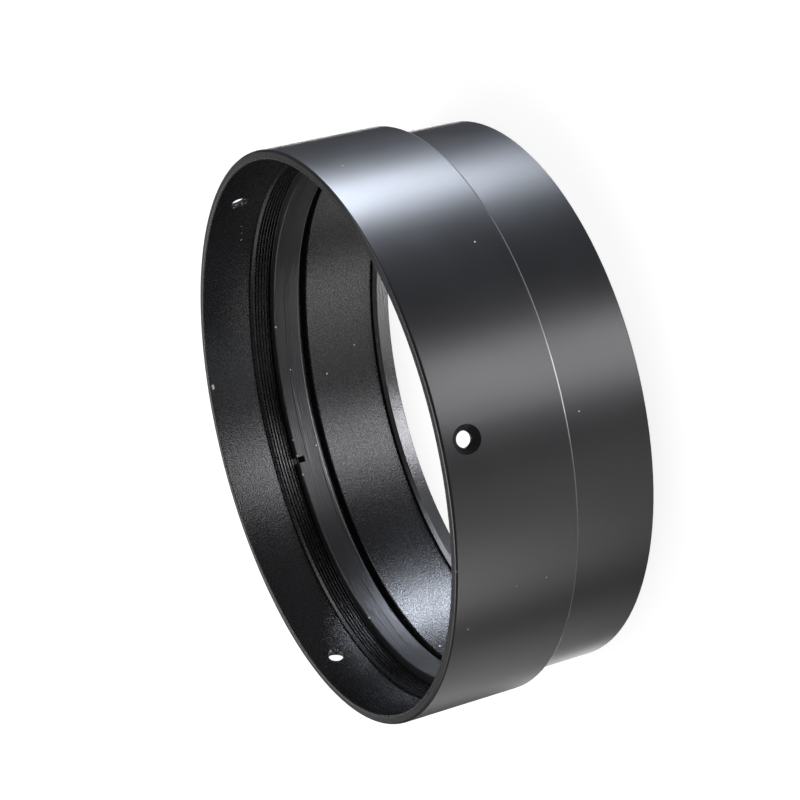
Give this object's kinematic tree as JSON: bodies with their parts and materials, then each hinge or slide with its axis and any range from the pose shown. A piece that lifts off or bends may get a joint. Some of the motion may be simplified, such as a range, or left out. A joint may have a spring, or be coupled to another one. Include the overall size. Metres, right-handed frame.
{
  "type": "objective lens cell",
  "caption": "Empty stepped lens cell: a hollow turned body with a lens seat, a slotted threaded retaining ring inside and countersunk radial screw holes near its open rim.",
  "frame": {"origin": "on the cell's axis, in the plane of the lip face that it stands on", "axes": "+Z along the axis, from the lens seat towards the open rim; -Y towards one of the screw holes"},
  "size_m": [0.128, 0.128, 0.0476],
  "materials": {
    "cell_anodise": "satin black anodised, turned",
    "ring_anodise": "matt black anodised, turned, with fine scratches"
  },
  "bodies": {
    "cell": {"cell_body": "cell_anodise"},
    "ring": {"retaining_ring": "ring_anodise"}
  },
  "joints": [
    {"name": "ring_turn", "type": "hinge", "parent": "cell", "child": "ring", "pos_m": [0, 0, 0.0242], "axis": [0, 0, 1], "continuous": true}
  ]
}
